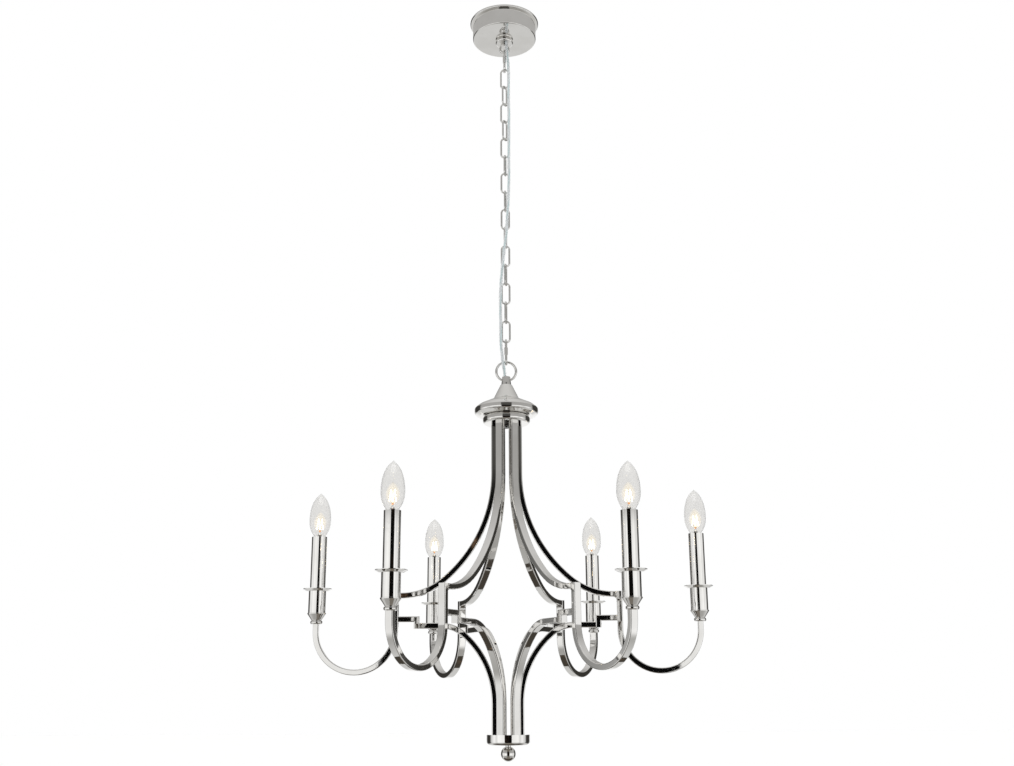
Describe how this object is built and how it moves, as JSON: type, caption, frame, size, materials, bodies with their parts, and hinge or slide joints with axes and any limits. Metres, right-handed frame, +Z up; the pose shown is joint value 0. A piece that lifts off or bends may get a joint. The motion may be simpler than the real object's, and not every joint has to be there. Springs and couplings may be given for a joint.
{
  "type": "multi arm chandelier",
  "caption": "Polished nickel chandelier on a chain: stepped hub, swept rectangular-tube arms that hook up to candle lamps, and a ball finial.",
  "frame": {"origin": "centre of the ceiling face, midway between the two ceiling screw slots", "axes": "+Z up towards the ceiling; everything hangs to -Z; +X along the crossbar and through one pair of opposite arms; +Y away from the front"},
  "size_m": [0.66, 0.5821, 1.3081],
  "materials": {
    "polished_nickel": "mirror-polished nickel plate",
    "zinc_steel": "zinc-plated steel",
    "clear_glass": "clear blown glass",
    "clear_pvc": "clear sheath over tinned cores",
    "white_plastic": "white moulded plastic",
    "lamp_cap": "rolled lamp cap metal"
  },
  "bodies": {
    "ceiling_mount": {"ceiling_bracket": "zinc_steel", "canopy": "polished_nickel", "stem_tube": "zinc_steel", "stem_nuts": "zinc_steel", "canopy_collar": "polished_nickel", "canopy_loop": "polished_nickel", "terminal_block": "white_plastic", "cord_grip": "white_plastic", "flex_cord": "clear_pvc"},
    "top_quick_link": {"top_quick_link": "polished_nickel", "top_link_sleeve": "polished_nickel"},
    "chain_link_01": {"chain_link_01": "polished_nickel"},
    "chain_link_02": {"chain_link_02": "polished_nickel"},
    "chain_link_03": {"chain_link_03": "polished_nickel"},
    "chain_link_04": {"chain_link_04": "polished_nickel"},
    "chain_link_05": {"chain_link_05": "polished_nickel"},
    "chain_link_06": {"chain_link_06": "polished_nickel"},
    "chain_link_07": {"chain_link_07": "polished_nickel"},
    "chain_link_08": {"chain_link_08": "polished_nickel"},
    "chain_link_09": {"chain_link_09": "polished_nickel"},
    "chain_link_10": {"chain_link_10": "polished_nickel"},
    "chain_link_11": {"chain_link_11": "polished_nickel"},
    "chain_link_12": {"chain_link_12": "polished_nickel"},
    "chain_link_13": {"chain_link_13": "polished_nickel"},
    "chain_link_14": {"chain_link_14": "polished_nickel"},
    "chain_link_15": {"chain_link_15": "polished_nickel"},
    "bottom_quick_link": {"bottom_quick_link": "polished_nickel", "bottom_link_sleeve": "polished_nickel"},
    "suspension_ring": {"suspension_ring": "polished_nickel"},
    "chandelier_frame": {"hub_neck": "polished_nickel", "neck_grub_screw": "zinc_steel", "hub_cap": "polished_nickel", "hub_disc": "polished_nickel", "hub_rod": "zinc_steel", "hub_nut": "zinc_steel", "upper_arms": "polished_nickel", "candle_arms": "polished_nickel", "arm_struts": "polished_nickel", "lower_arms": "polished_nickel", "bottom_plate": "polished_nickel", "bottom_finial": "polished_nickel", "bead_rings": "polished_nickel", "candle_stems": "zinc_steel", "candle_cups": "polished_nickel", "drip_pans": "polished_nickel", "candle_sleeves": "polished_nickel", "lampholders": "white_plastic"},
    "bulb_1": {"bulb_cap_1": "lamp_cap", "bulb_glass_1": "clear_glass"},
    "bulb_2": {"bulb_cap_2": "lamp_cap", "bulb_glass_2": "clear_glass"},
    "bulb_3": {"bulb_cap_3": "lamp_cap", "bulb_glass_3": "clear_glass"},
    "bulb_4": {"bulb_cap_4": "lamp_cap", "bulb_glass_4": "clear_glass"},
    "bulb_5": {"bulb_cap_5": "lamp_cap", "bulb_glass_5": "clear_glass"},
    "bulb_6": {"bulb_cap_6": "lamp_cap", "bulb_glass_6": "clear_glass"}
  },
  "joints": [
    {"name": "top_quick_link_swing", "type": "hinge", "parent": "ceiling_mount", "child": "top_quick_link", "pos_m": [0, 0, -0.062], "axis": [1, 0, 0], "range_deg": [-30, 30], "deforming": ["flex_cord"]},
    {"name": "chain_link_01_swing", "type": "hinge", "parent": "top_quick_link", "child": "chain_link_01", "pos_m": [0, 0, -0.1009], "axis": [0, 1, 0], "range_deg": [-30, 30], "deforming": ["flex_cord"]},
    {"name": "chain_link_02_swing", "type": "hinge", "parent": "chain_link_01", "child": "chain_link_02", "pos_m": [0, 0, -0.13535], "axis": [-0.9848, 0.1736, 0], "range_deg": [-30, 30], "deforming": ["flex_cord"]},
    {"name": "chain_link_03_swing", "type": "hinge", "parent": "chain_link_02", "child": "chain_link_03", "pos_m": [0, 0, -0.17025], "axis": [-0.5299, -0.848, 0], "range_deg": [-30, 30], "deforming": ["flex_cord"]},
    {"name": "chain_link_04_swing", "type": "hinge", "parent": "chain_link_03", "child": "chain_link_04", "pos_m": [0, 0, -0.20515], "axis": [0.9848, -0.1736, 0], "range_deg": [-30, 30], "deforming": ["flex_cord"]},
    {"name": "chain_link_05_swing", "type": "hinge", "parent": "chain_link_04", "child": "chain_link_05", "pos_m": [0, 0, -0.24005], "axis": [0.5, 0.866, 0], "range_deg": [-30, 30], "deforming": ["flex_cord"]},
    {"name": "chain_link_06_swing", "type": "hinge", "parent": "chain_link_05", "child": "chain_link_06", "pos_m": [0, 0, -0.27495], "axis": [-0.9945, 0.1045, 0], "range_deg": [-30, 30], "deforming": ["flex_cord"]},
    {"name": "chain_link_07_swing", "type": "hinge", "parent": "chain_link_06", "child": "chain_link_07", "pos_m": [0, 0, -0.30985], "axis": [-0.1392, -0.9903, 0], "range_deg": [-30, 30], "deforming": ["flex_cord"]},
    {"name": "chain_link_08_swing", "type": "hinge", "parent": "chain_link_07", "child": "chain_link_08", "pos_m": [0, 0, -0.34475], "axis": [0.9848, 0.1736, 0], "range_deg": [-30, 30], "deforming": ["flex_cord"]},
    {"name": "chain_link_09_swing", "type": "hinge", "parent": "chain_link_08", "child": "chain_link_09", "pos_m": [0, 0, -0.37965], "axis": [0.1045, 0.9945, 0], "range_deg": [-30, 30], "deforming": ["flex_cord"]},
    {"name": "chain_link_10_swing", "type": "hinge", "parent": "chain_link_09", "child": "chain_link_10", "pos_m": [0, 0, -0.41455], "axis": [-0.9903, -0.1392, 0], "range_deg": [-30, 30], "deforming": ["flex_cord"]},
    {"name": "chain_link_11_swing", "type": "hinge", "parent": "chain_link_10", "child": "chain_link_11", "pos_m": [0, 0, -0.44945], "axis": [-0.2079, -0.9781, 0], "range_deg": [-30, 30], "deforming": ["flex_cord"]},
    {"name": "chain_link_12_swing", "type": "hinge", "parent": "chain_link_11", "child": "chain_link_12", "pos_m": [0, 0, -0.48435], "axis": [0.9945, 0.1045, 0], "range_deg": [-30, 30], "deforming": ["flex_cord"]},
    {"name": "chain_link_13_swing", "type": "hinge", "parent": "chain_link_12", "child": "chain_link_13", "pos_m": [0, 0, -0.51925], "axis": [0.1736, 0.9848, 0], "range_deg": [-30, 30], "deforming": ["flex_cord"]},
    {"name": "chain_link_14_swing", "type": "hinge", "parent": "chain_link_13", "child": "chain_link_14", "pos_m": [0, 0, -0.55415], "axis": [-0.9976, -0.0698, 0], "range_deg": [-30, 30], "deforming": ["flex_cord"]},
    {"name": "chain_link_15_swing", "type": "hinge", "parent": "chain_link_14", "child": "chain_link_15", "pos_m": [0, 0, -0.58905], "axis": [-0.1392, -0.9903, 0], "range_deg": [-30, 30], "deforming": ["flex_cord"]},
    {"name": "bottom_quick_link_swing", "type": "hinge", "parent": "chain_link_15", "child": "bottom_quick_link", "pos_m": [0, 0, -0.62395], "axis": [0.9945, 0.1045, 0], "range_deg": [-30, 30], "deforming": ["flex_cord"]},
    {"name": "suspension_ring_swing", "type": "hinge", "parent": "bottom_quick_link", "child": "suspension_ring", "pos_m": [0, 0, -0.6633], "axis": [0, 1, 0], "range_deg": [-30, 30], "deforming": ["flex_cord"]},
    {"name": "chandelier_frame_swing", "type": "hinge", "parent": "suspension_ring", "child": "chandelier_frame", "pos_m": [0, 0, -0.69176], "axis": [-1, 0, 0], "range_deg": [-30, 30], "deforming": ["flex_cord"]},
    {"name": "bulb_1_lift", "type": "slide", "parent": "chandelier_frame", "child": "bulb_1", "axis": [0, 0, 1], "range_m": [0, 0.028]},
    {"name": "bulb_2_lift", "type": "slide", "parent": "chandelier_frame", "child": "bulb_2", "axis": [0, 0, 1], "range_m": [0, 0.028]},
    {"name": "bulb_3_lift", "type": "slide", "parent": "chandelier_frame", "child": "bulb_3", "axis": [0, 0, 1], "range_m": [0, 0.028]},
    {"name": "bulb_4_lift", "type": "slide", "parent": "chandelier_frame", "child": "bulb_4", "axis": [0, 0, 1], "range_m": [0, 0.028]},
    {"name": "bulb_5_lift", "type": "slide", "parent": "chandelier_frame", "child": "bulb_5", "axis": [0, 0, 1], "range_m": [0, 0.028]},
    {"name": "bulb_6_lift", "type": "slide", "parent": "chandelier_frame", "child": "bulb_6", "axis": [0, 0, 1], "range_m": [0, 0.028]}
  ]
}
